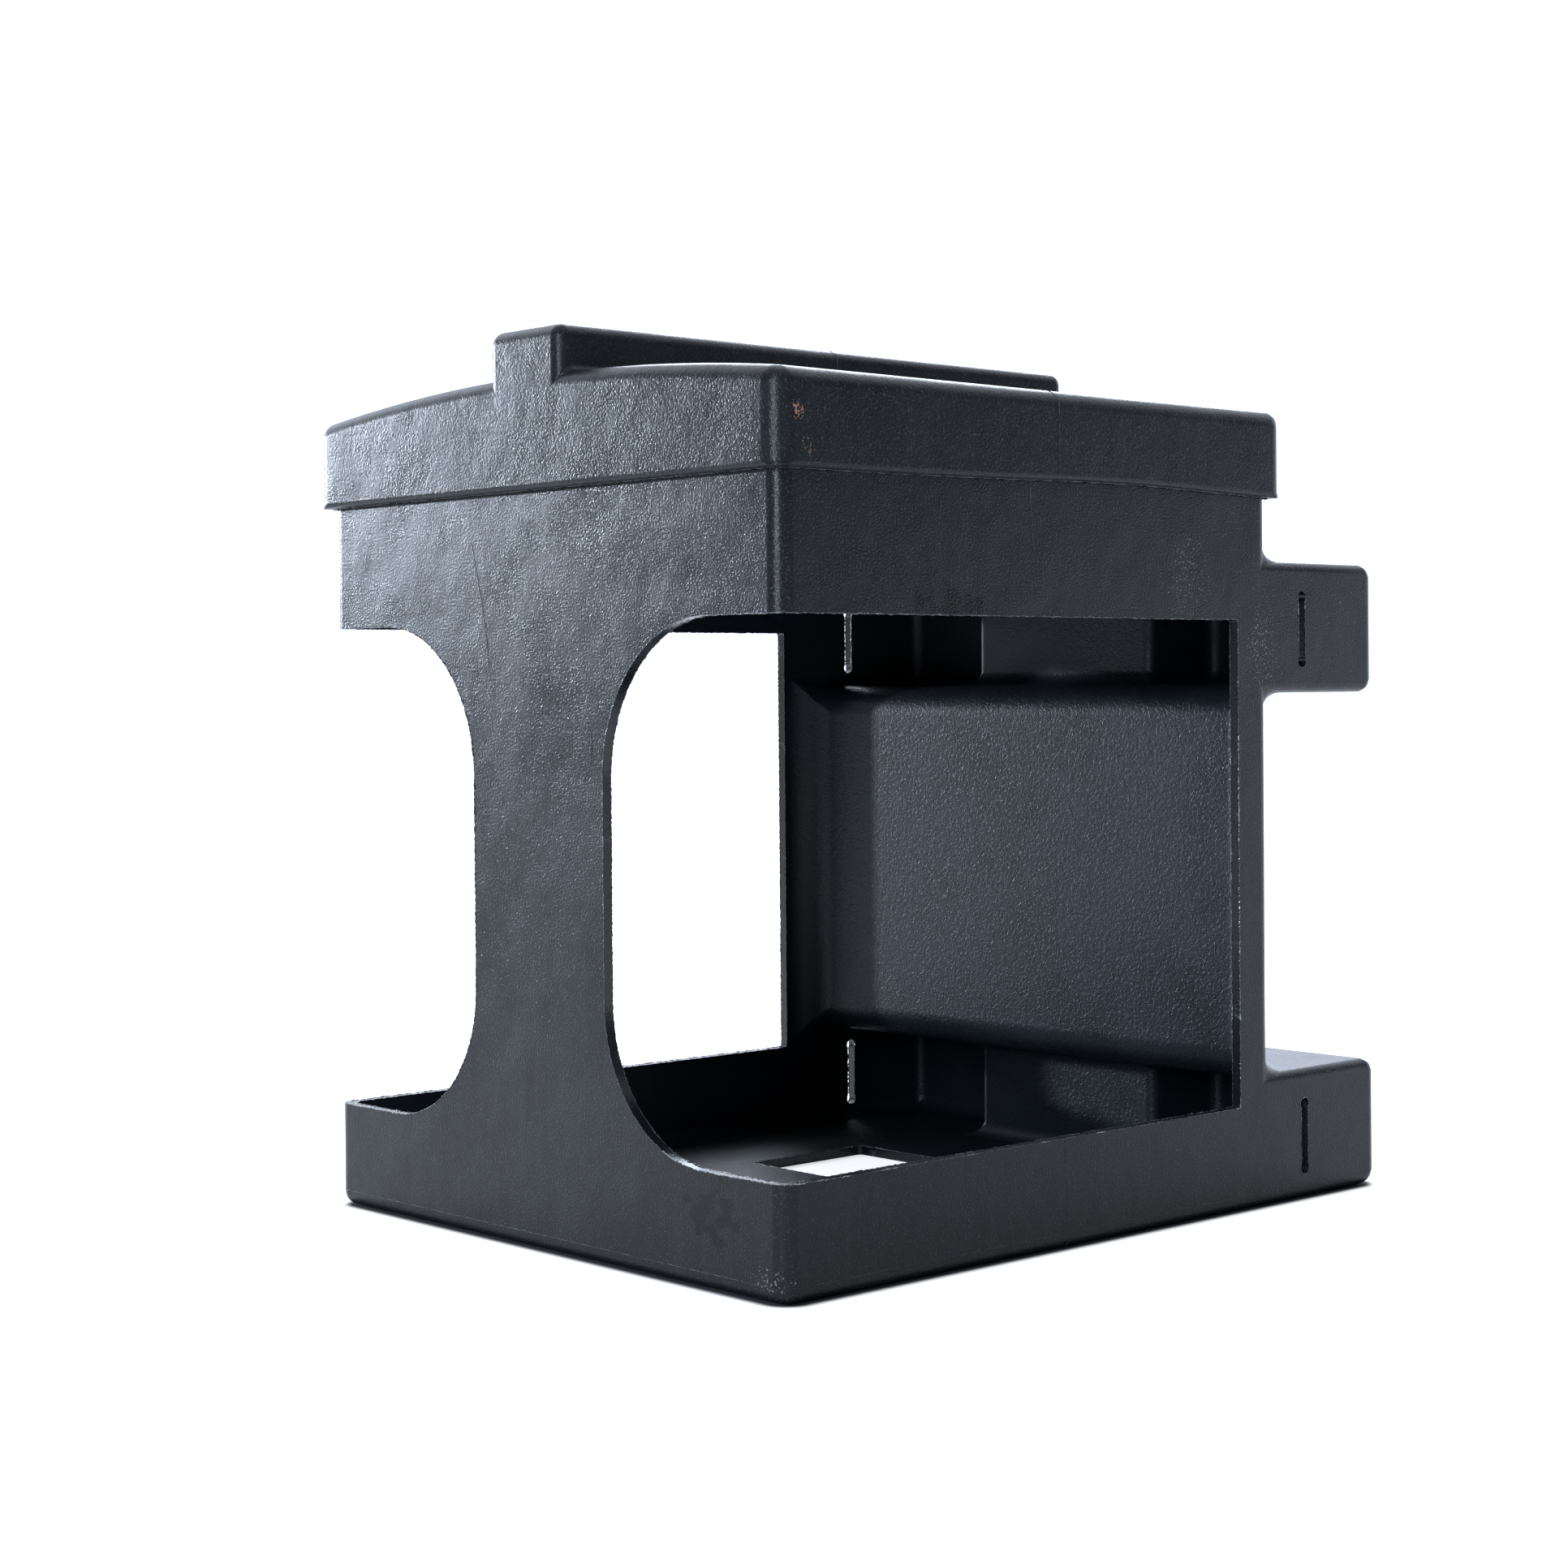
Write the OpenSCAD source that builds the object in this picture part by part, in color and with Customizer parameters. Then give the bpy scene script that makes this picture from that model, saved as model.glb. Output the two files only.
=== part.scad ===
// Covered lick feeder for a stable or paddock: a one-piece shell with open corners,
// strap ears behind it and a loose roof lid. Millimetres, +Z up, front face towards -Y.
// The origin is on the ground, at the centre of the whole footprint.

/* [Shell] */
// Width of the shell across its side walls
body_w = 400; // [380:1:440]
// Depth of the shell from its front face to its back wall
body_d = 392; // [360:1:430]
// Height of the shell's top rim, which the lid hides
body_h = 465; // [455:0.5:465]
// Thickness of the shell's walls and floor
wall = 6; // [5:0.5:8]
// Radius of the shell's upright corners
corner_r = 10; // [8:1:16]
// Radius along the shell's bottom edge
base_r = 8; // [7:1:12]

/* [Ears] */
// How far the strap ears stand out behind the back wall
ear_reach = 105; // [90:1:120]
// Height of each pair of ears
ear_h = 78; // [72:1:90]
// Height of the underside of the upper ears
upper_ear_z = 304; // [290:1:310]
// Radius of the ears' outer corners, seen from the side
ear_corner_r = 12; // [8:1:16]
// Radius where an ear meets the back wall, seen from the side
ear_fillet_r = 16; // [8:1:20]
// Width of the upright groove between the ears that takes a post
groove_w = 140; // [100:1:160]
// Depth of the post groove
groove_d = 60; // [40:1:70]

/* [Openings] */
// Height of the tray's rim
rim_z = 61; // [50:1:70]
// Height of the openings' top edge
opening_top_z = 347; // [335:1:360]
// Width of the front column at its waist
column_w = 116; // [90:1:140]
// Radius where the column widens into the upper band
column_top_r = 86; // [60:1:100]
// Radius where the column widens into the tray
column_base_r = 80; // [60:1:100]
// Width of each rear post beside a side opening
rear_post = 30; // [24:1:50]

/* [Floor hole] */
// Width of the hole in the floor
hole_w = 204; // [100:1:260]
// Depth of the hole in the floor
hole_d = 96; // [60:1:100]
// Distance from the front face to the hole's front edge
hole_front = 247; // [200:1:250]

/* [Strap slots] */
// Length of each strap slot from end to end
slot_l = 46; // [40:1:52]
// Width of each strap slot
slot_w = 6.5; // [5:0.5:10]
// Height of a slot's centre above the underside of its ear
slot_rise = 38; // [35:1:42]
// Distance of the slots behind the back wall
slot_back = 31; // [24:1:60]

/* [Lid] */
// Thickness of the lid
lid_wall = 4.5; // [4:0.5:5]
// How far the lid stands out beyond the shell all round
lid_overhang = 7; // [6.5:0.5:10]
// Height of the skirt's lower edge
skirt_z = 419; // [410:1:425]
// Height of the lid's eaves, before their edge is rounded
eave_z = 469; // [467:1:470]
// Height of the arched roof at its middle
apex_z = 482; // [478:1:490]
// Radius of the lid's upright corners
lid_corner_r = 13; // [10:1:18]
// Radius along the eaves
eave_r = 9; // [6:1:12]
// Width of the ridge bar
ridge_w = 65; // [50:1:80]
// Height of the top of the ridge bar
ridge_z = 508; // [500:1:514]
// Radius along the ridge bar's top edges
ridge_r = 8; // [6:1:12]
// Radius where the ridge bar rises from the roof
ridge_web_r = 5; // [3:1:8]

/* [Hidden] */
$fn = 96;
cut = 1;
ear_root = 2 * base_r;
roof_fn = 720;
depth_all = lid_overhang + body_d + ear_reach;
y_front = lid_overhang - depth_all / 2;
y_back = y_front + body_d;
y_ear = y_back + ear_reach;
lid_w = body_w + 2 * lid_overhang;
lid_d = body_d + 2 * lid_overhang;
opening_h = opening_top_z - rim_z;
opening_d = body_d - rear_post;
roof_rise = apex_z - eave_z;
roof_r = (pow(lid_w / 2, 2) + pow(roof_rise, 2)) / (2 * roof_rise);

// A rectangle from the corner [x, y], with a radius for each corner:
// lower left, lower right, upper right, upper left. A radius of 0 is square.
module round_rect(x, y, w, h, r) {
    difference() {
        translate([x, y]) square([w, h]);
        corner_cut(x, y, r[0], 0);
        corner_cut(x + w, y, r[1], 90);
        corner_cut(x + w, y + h, r[2], 180);
        corner_cut(x, y + h, r[3], 270);
    }
}

// What a radius takes off a square corner at [x, y], whose inside is turned by angle a.
module corner_cut(x, y, r, a) {
    if (r > 0) {
        translate([x, y]) rotate(a) difference() {
            translate([-cut, -cut]) square(r + cut);
            translate([r, r]) circle(r);
        }
    }
}

// Web that fills an inside corner at [x, y] with a radius, turned by angle a.
module fillet_web(x, y, r, a) {
    translate([x, y]) rotate(a) difference() {
        translate([-cut, -cut]) square(r + cut);
        translate([r, r]) circle(r);
    }
}

// Stands a Y-Z outline up and extrudes it across the width w, centred on X.
module across(w) {
    translate([-w / 2, 0, 0]) rotate([90, 0, 90]) linear_extrude(w) children();
}

// Stands an X-Z outline up and extrudes it backwards from y by the depth d.
module backwards(y, d) {
    translate([0, y + d, 0]) rotate([90, 0, 0]) linear_extrude(d) children();
}

// Side view of the shell with its two pairs of ears, drawn t inside its outer faces.
module side_outline(t, top) {
    back = y_back - t;
    far_r = max(ear_corner_r - t, 2);
    near_r = ear_fillet_r + t;
    base = base_r - t;
    round_rect(y_front + t, t, body_d - 2 * t, top - t, [base, 0, 0, 0]);
    for (ear_z = [0, upper_ear_z]) {
        round_rect(back - ear_root, ear_z + t, ear_reach + ear_root, ear_h - 2 * t, [0, far_r, far_r, 0]);
    }
    fillet_web(back, ear_h - t, near_r, 0);
    fillet_web(back, upper_ear_z + t, near_r, 270);
    fillet_web(back, upper_ear_z + ear_h - t, near_r, 0);
}

// The space inside the shell's outer faces, drawn t inside them and up to the height top.
module shell_form(t, top) {
    corner = corner_r - t;
    base = base_r - t;
    w = body_w - 2 * t;
    difference() {
        intersection() {
            across(w) side_outline(t, top);
            linear_extrude(top) round_rect(-w / 2, y_front + t, w, depth_all - lid_overhang - 2 * t,
                [corner, corner, corner, corner]);
            backwards(y_front, depth_all) round_rect(-w / 2, t, w, top - t, [base, base, 0, 0]);
        }
        translate([-groove_w / 2 - t, y_ear - groove_d - t, -cut])
            cube([groove_w + 2 * t, groove_d + t + cut, top + 2 * cut]);
    }
}

// The opening beside the front column: straight at the waist, with a large radius above and below.
module front_opening() {
    backwards(y_front - cut, wall + corner_r + cut)
        round_rect(column_w / 2, rim_z, body_w / 2, opening_h, [column_base_r, 0, 0, column_top_r]);
}

// The square-cornered opening in a side wall, which meets the front one round the corner.
module side_opening() {
    translate([body_w / 2 - wall - cut, y_front - cut, rim_z])
        cube([wall + 2 * cut, opening_d + cut, opening_h]);
}

// A strap slot with round ends through a side wall, centred at the height z.
module strap_slot(z) {
    run = slot_l - slot_w;
    translate([0, y_back + slot_back, z]) rotate([0, 90, 0]) linear_extrude(body_w / 2 + cut) {
        square([run, slot_w], center = true);
        translate([run / 2, 0]) circle(slot_w / 2);
        translate([-run / 2, 0]) circle(slot_w / 2);
    }
}

// Everything that is cut through one side of the shell.
module side_cuts() {
    front_opening();
    side_opening();
    strap_slot(slot_rise);
    strap_slot(upper_ear_z + slot_rise);
}

module body_shell() {
    color("#2b2f33") difference() {
        shell_form(0, body_h);
        shell_form(wall, body_h + cut);
        side_cuts();
        mirror([1, 0, 0]) side_cuts();
        translate([-hole_w / 2, y_front + hole_front, -cut]) cube([hole_w, hole_d, wall + 2 * cut]);
    }
}

// Front view of the lid's roof and skirt, drawn t inside its outer faces. The eaves turn
// from the arched roof into the upright skirt on a circle that touches both.
module lid_outline(t) {
    half = lid_w / 2 - t;
    r = eave_r - t;
    past = 4 * r;
    lean = asin((half - r) / (roof_r - t - r));
    turn_z = apex_z - roof_r + (roof_r - t - r) * cos(lean);
    difference() {
        intersection() {
            translate([-half, skirt_z - t]) square([2 * half, apex_z - skirt_z]);
            translate([0, apex_z - roof_r]) circle(roof_r - t, $fn = roof_fn);
        }
        for (side = [-1, 1]) {
            translate([side * (half - r), turn_z]) difference() {
                polygon([[0, 0], [side * past * sin(lean), past * cos(lean)],
                    [side * past, past], [side * past, 0]]);
                circle(r);
            }
        }
    }
}

// The ridge bar, drawn t inside its outer faces, rounded along its top and at both ends.
module ridge_form(t) {
    bar = ridge_w - 2 * t;
    d = lid_d - 2 * t;
    y = y_front - lid_overhang + t;
    r = ridge_r - t;
    web_r = ridge_web_r + t;
    top_h = ridge_z - skirt_z - t;
    intersection() {
        backwards(y, d) {
            round_rect(-bar / 2, skirt_z, bar, top_h, [0, 0, r, r]);
            fillet_web(bar / 2, apex_z - t, web_r, 0);
            fillet_web(-bar / 2, apex_z - t, web_r, 90);
        }
        across(lid_w) round_rect(y, skirt_z - cut, d, top_h + cut, [0, 0, r, r]);
    }
}

// The roof, its skirt and the ridge bar along it, drawn t inside their outer faces.
module lid_form(t) {
    w = lid_w - 2 * t;
    d = lid_d - 2 * t;
    corner = lid_corner_r - t;
    y = y_front - lid_overhang + t;
    intersection() {
        union() {
            backwards(y, d) lid_outline(t);
            ridge_form(t);
        }
        translate([0, 0, skirt_z - 2 * cut - t]) linear_extrude(ridge_z - skirt_z + 4 * cut)
            round_rect(-w / 2, y, w, d, [corner, corner, corner, corner]);
    }
}

module lid() {
    color("#33373b") difference() {
        lid_form(0);
        lid_form(lid_wall);
    }
}

body_shell();
lid();
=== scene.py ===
"""Looks of a covered lick feeder: a rotomoulded shell and its loose lid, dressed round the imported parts."""

from __future__ import annotations

import logging
import math
import random
from collections.abc import Callable, Iterator
from contextlib import contextmanager
from dataclasses import dataclass
from enum import Enum

import bmesh
import bpy
from bmesh.types import BMEdge, BMFace
from bpy.types import Material, Node, NodeSocket, NodeTree, Object
from mathutils import Matrix, Vector


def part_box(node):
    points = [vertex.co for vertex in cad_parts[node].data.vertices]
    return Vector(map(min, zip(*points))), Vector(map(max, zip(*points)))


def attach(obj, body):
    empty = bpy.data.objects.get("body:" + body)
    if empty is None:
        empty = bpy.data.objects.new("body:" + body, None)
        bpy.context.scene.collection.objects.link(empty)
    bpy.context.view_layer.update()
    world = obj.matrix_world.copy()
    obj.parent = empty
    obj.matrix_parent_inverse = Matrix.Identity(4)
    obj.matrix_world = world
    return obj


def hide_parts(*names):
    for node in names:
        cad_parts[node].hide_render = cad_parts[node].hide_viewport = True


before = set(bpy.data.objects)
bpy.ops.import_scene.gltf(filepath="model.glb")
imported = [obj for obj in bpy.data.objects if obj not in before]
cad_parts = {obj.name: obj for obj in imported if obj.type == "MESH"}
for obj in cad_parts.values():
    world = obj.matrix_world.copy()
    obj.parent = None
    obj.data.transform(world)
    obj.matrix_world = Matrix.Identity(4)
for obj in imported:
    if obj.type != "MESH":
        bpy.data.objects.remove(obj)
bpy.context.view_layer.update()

log = logging.getLogger("lick_feeder")

MM = 0.001
SHARP_EDGE = math.radians(30)
POLYETHYLENE_IOR = 1.51
UPRIGHT = Vector((0, 0, 1))


class Axis(Enum):
    """The direction that an edge of a block form runs in."""

    X = 0
    Y = 1
    Z = 2


class Half(Enum):
    """The two sides of the feeder, which mirror each other."""

    RIGHT = 1
    LEFT = -1


# --------------------------------------------------------------------------- modelling helpers


def activate(piece: Object) -> None:
    """Selects one piece and nothing else, and makes it the active one."""
    if bpy.context.object is not None and bpy.context.object.mode != "OBJECT":
        bpy.ops.object.mode_set(mode="OBJECT")
    bpy.ops.object.select_all(action="DESELECT")
    piece.select_set(True)
    bpy.context.view_layer.objects.active = piece


@contextmanager
def editing(piece: Object, mode: str) -> Iterator[None]:
    """Opens a piece in edit mode with nothing selected, and closes it again.

    Args:
        piece: The piece to edit.
        mode: What is selected in it, VERT, EDGE or FACE.
    """
    activate(piece)
    bpy.ops.object.mode_set(mode="EDIT")
    bpy.ops.mesh.select_mode(type=mode)
    bpy.ops.mesh.select_all(action="DESELECT")
    yield
    bpy.ops.object.mode_set(mode="OBJECT")


def pick(piece: Object, kind: str, test: Callable[..., bool]) -> int:
    """Selects what passes a test in the piece being edited, and nothing else.

    Args:
        piece: The piece being edited.
        kind: The name of the bmesh sequence, "verts", "edges" or "faces".
        test: Says of one element whether it is wanted.

    Returns:
        How many elements passed.
    """
    bpy.ops.mesh.select_all(action="DESELECT")
    mesh = bmesh.from_edit_mesh(piece.data)
    found = [item for item in getattr(mesh, kind) if test(item)]
    for item in found:
        item.select_set(True)
    bmesh.update_edit_mesh(piece.data)
    return len(found)


def slice_all(place: Vector, normal: Vector) -> None:
    """Cuts every face of the piece being edited along a plane, and leaves the cut edges in it."""
    bpy.ops.mesh.select_all(action="SELECT")
    bpy.ops.mesh.bisect(plane_co=place, plane_no=normal)


def push_out(piece: Object, test: Callable[..., bool], move: Vector) -> None:
    """Extrudes the faces that pass a test.

    Args:
        piece: The piece being edited.
        test: Says of a face whether it is pushed out.
        move: How far and which way.
    """
    pick(piece, "faces", test)
    bpy.ops.mesh.extrude_region_move(TRANSFORM_OT_translate={"value": move})


def add_box(name: str, low: Vector, high: Vector) -> Object:
    """Adds a box between two corners, with its object at the origin.

    Args:
        name: The new object's name.
        low: Its lowest corner.
        high: Its highest corner.

    Returns:
        The new object.
    """
    bpy.ops.object.select_all(action="DESELECT")
    bpy.ops.mesh.primitive_cube_add(size=1, location=(low + high) / 2, scale=high - low)
    box = bpy.context.object
    box.name = name
    bpy.ops.object.transform_apply(location=True, rotation=True, scale=True)
    return box


def add_drill(name: str, place: Vector, radius: float, length: float) -> Object:
    """Adds a round cutter that lies along X.

    Args:
        name: The new object's name.
        place: Its centre.
        radius: Its radius.
        length: Its length.

    Returns:
        The new object.
    """
    bpy.ops.object.select_all(action="DESELECT")
    bpy.ops.mesh.primitive_cylinder_add(
        vertices=28, radius=radius, depth=length, location=place, rotation=(0, math.pi / 2, 0)
    )
    drill = bpy.context.object
    drill.name = name
    bpy.ops.object.transform_apply(location=True, rotation=True, scale=True)
    return drill


def give_finish(piece: Object, material: Material) -> None:
    """Makes one material the only one on a piece."""
    piece.data.materials.clear()
    piece.data.materials.append(material)


def apply_modifier(piece: Object, kind: str, **settings: object) -> None:
    """Adds one modifier to a piece with its settings, and applies it.

    Args:
        piece: The piece that the modifier shapes.
        kind: The modifier's type, as Blender names it.
        settings: Its settings by name.
    """
    activate(piece)
    modifier = piece.modifiers.new(kind.lower(), kind)
    for key, value in settings.items():
        setattr(modifier, key, value)
    bpy.ops.object.modifier_apply(modifier=modifier.name)


def combine(piece: Object, tool: Object, operation: str) -> None:
    """Joins a tool to a piece or takes it away, keeping each one's finish, and removes the tool.

    Args:
        piece: The piece that is kept.
        tool: The closed shape that is joined or taken away.
        operation: UNION, DIFFERENCE or INTERSECT.
    """
    apply_modifier(
        piece, "BOOLEAN", object=tool, operation=operation, solver="EXACT", material_mode="TRANSFER"
    )
    bpy.data.objects.remove(tool)


def round_edges(piece: Object, radius_of: Callable[[Vector, Axis, bool], float], segments: int) -> None:
    """Rounds every sharp edge of a block form with a radius of its own.

    Args:
        piece: The block form.
        radius_of: Gives an edge's radius from its middle, its direction and whether it is convex.
        segments: How many faces go round each edge.
    """
    mesh = bmesh.new()
    mesh.from_mesh(piece.data)
    weight = mesh.edges.layers.float.new("bevel_weight_edge")
    radii = {}
    for edge in mesh.edges:
        bend = edge.calc_face_angle_signed(0)
        if abs(bend) < SHARP_EDGE:
            continue
        first, second = (v.co for v in edge.verts)
        run = [abs(x) for x in second - first]
        radii[edge] = radius_of((first + second) / 2, Axis(run.index(max(run))), bend > 0)
    widest = max(radii.values())
    for edge, radius in radii.items():
        edge[weight] = radius / widest
    mesh.to_mesh(piece.data)
    mesh.free()
    apply_modifier(
        piece, "BEVEL", limit_method="WEIGHT", width=widest, segments=segments, use_clamp_overlap=False
    )


def smooth_faces(piece: Object) -> None:
    """Shades a piece smooth across its fillets, with its flat faces kept flat."""
    activate(piece)
    bpy.ops.object.shade_smooth_by_angle(angle=SHARP_EDGE)
    apply_modifier(piece, "WEIGHTED_NORMAL", keep_sharp=True, mode="FACE_AREA")


def near(value: float, target: float) -> bool:
    """Whether two lengths agree within a twentieth of a millimetre."""
    return abs(value - target) < 0.05 * MM


def bead_along(
    source: Object,
    name: str,
    wanted: Callable[[BMEdge], bool],
    thickness: float,
    wander: float,
    step: float,
    seed: int,
    cut: tuple[Vector, Vector] | None = None,
) -> Object:
    """Makes a thin uneven bead along some of a piece's edges, as flash or a burr is.

    Args:
        source: The piece whose edges it follows.
        name: The bead's name.
        wanted: Says of an edge whether the bead follows it.
        thickness: The bead's mean radius.
        wander: How far the bead strays from the edge.
        step: The longest straight stretch in it.
        seed: Starts its random draws.
        cut: A point and a normal of a plane that is cut through the piece first, to give it edges there.

    Returns:
        The bead as a mesh.
    """
    activate(source)
    bpy.ops.object.duplicate()
    bead = bpy.context.object
    bead.name = name
    with editing(bead, "EDGE"):
        if cut is not None:
            slice_all(*cut)
        pick(bead, "edges", lambda edge: not wanted(edge))
        bpy.ops.mesh.delete(type="EDGE")
        bpy.ops.mesh.select_all(action="SELECT")
        bpy.ops.mesh.delete(type="ONLY_FACE")
        while pick(bead, "edges", lambda edge: edge.calc_length() > step):
            bpy.ops.mesh.subdivide(number_cuts=1)
    bead.data.materials.clear()
    bpy.ops.object.convert(target="CURVE")
    draw = random.Random(seed)
    curve = bead.data
    curve.dimensions = "3D"
    curve.bevel_depth = thickness
    curve.bevel_resolution = 0
    curve.use_fill_caps = True
    for spline in curve.splines:
        for point in spline.points:
            stray = Vector([draw.uniform(-wander, wander) for _ in range(3)])
            point.co = (*(point.co.to_3d() + stray), 1)
            # The bead swells and thins along its length.
            point.radius = draw.uniform(0.25, 1.75)
    bpy.ops.object.convert(target="MESH")
    bead.name = name
    with editing(bead, "FACE"):
        bpy.ops.mesh.select_all(action="SELECT")
        bpy.ops.mesh.normals_make_consistent(inside=False)
    bpy.ops.object.shade_smooth()
    return bead


def add_scratch(name: str, start: Vector, way: Vector, end: Vector, hook: Vector, width: float) -> Object:
    """Models one curved hairline of raised plastic beside a scratch.

    Args:
        name: The scratch's name.
        start: Where it starts.
        way: The point that it sets off towards.
        end: Where it ends.
        hook: The point that it arrives from.
        width: Its width.

    Returns:
        The hairline as a mesh.
    """
    bpy.ops.object.select_all(action="DESELECT")
    bpy.ops.curve.primitive_bezier_curve_add()
    line = bpy.context.object
    line.name = name
    curve = line.data
    curve.bevel_depth = width / 2
    curve.bevel_resolution = 0
    curve.use_fill_caps = True
    for point, place, handle in zip(curve.splines[0].bezier_points, (start, end), (way, hook)):
        point.handle_left_type = point.handle_right_type = "FREE"
        point.co = place
        point.handle_left = point.handle_right = handle
        point.radius = 1.0
    bpy.ops.object.convert(target="MESH")
    line.name = name
    with editing(line, "FACE"):
        bpy.ops.mesh.select_all(action="SELECT")
        bpy.ops.mesh.normals_make_consistent(inside=False)
    return line


# --------------------------------------------------------------------------- finishes


def linear(hex_code: str) -> tuple[float, float, float, float]:
    """Turns an sRGB hex colour into the linear values that a shader takes.

    Args:
        hex_code: Six hex digits after a hash.

    Returns:
        Red, green, blue and an alpha of 1.
    """
    parts = [int(hex_code[i : i + 2], 16) / 255 for i in (1, 3, 5)]
    turned = [p / 12.92 if p <= 0.04045 else ((p + 0.055) / 1.055) ** 2.4 for p in parts]
    return (*turned, 1.0)


def add_node(
    tree: NodeTree,
    kind: str,
    settings: dict[str, object] | None = None,
    sockets: dict[str | int, object] | None = None,
) -> Node:
    """Adds one node to a material.

    Args:
        tree: The material's node tree.
        kind: The node's type, without its "ShaderNode".
        settings: The node's own settings by name.
        sockets: For an input's name or number, its value or the output that feeds it.

    Returns:
        The new node.
    """
    made = tree.nodes.new("ShaderNode" + kind)
    for key, value in (settings or {}).items():
        setattr(made, key, value)
    for key, value in (sockets or {}).items():
        if isinstance(value, NodeSocket):
            tree.links.new(value, made.inputs[key])
        else:
            made.inputs[key].default_value = value
    return made


def per_size(size_mm: float) -> float:
    """The scale of a pattern whose features are about this many millimetres across."""
    return 1 / (size_mm * MM)


@dataclass(frozen=True)
class Mark:
    """A local mark on a surface: dust, damp or dirt, strongest at its centre.

    Lengths are in millimetres. Real dust is finer than its specks here, which are as coarse as they
    need to be to show.
    """

    centre: tuple[float, float, float]
    reach: tuple[float, float, float]
    colour: str
    roughness: float
    grain_mm: float
    amount: float
    cover: float


@dataclass(frozen=True)
class Finish:
    """What every finish has: a name for the real material and how its surface was made."""

    name: str

    def start(self) -> tuple[NodeTree, NodeSocket]:
        """Makes the empty material.

        Returns:
            Its node tree and the object coordinates that its patterns read.
        """
        material = bpy.data.materials.new(self.name)
        material.use_nodes = True
        tree = material.node_tree
        tree.nodes.clear()
        return tree, add_node(tree, "TexCoord").outputs["Object"]

    def close(self, tree: NodeTree, sockets: dict[str, object]) -> Material:
        """Adds the material's shader and output.

        Args:
            tree: The material's node tree.
            sockets: For an input of the shader, its value or the output that feeds it.

        Returns:
            The finished material.
        """
        shader = add_node(tree, "BsdfPrincipled", sockets=sockets)
        add_node(tree, "OutputMaterial", sockets={"Surface": shader.outputs["BSDF"]})
        return bpy.data.materials[self.name]

    def build(self) -> Material:
        """Makes the material."""
        raise NotImplementedError


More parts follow.
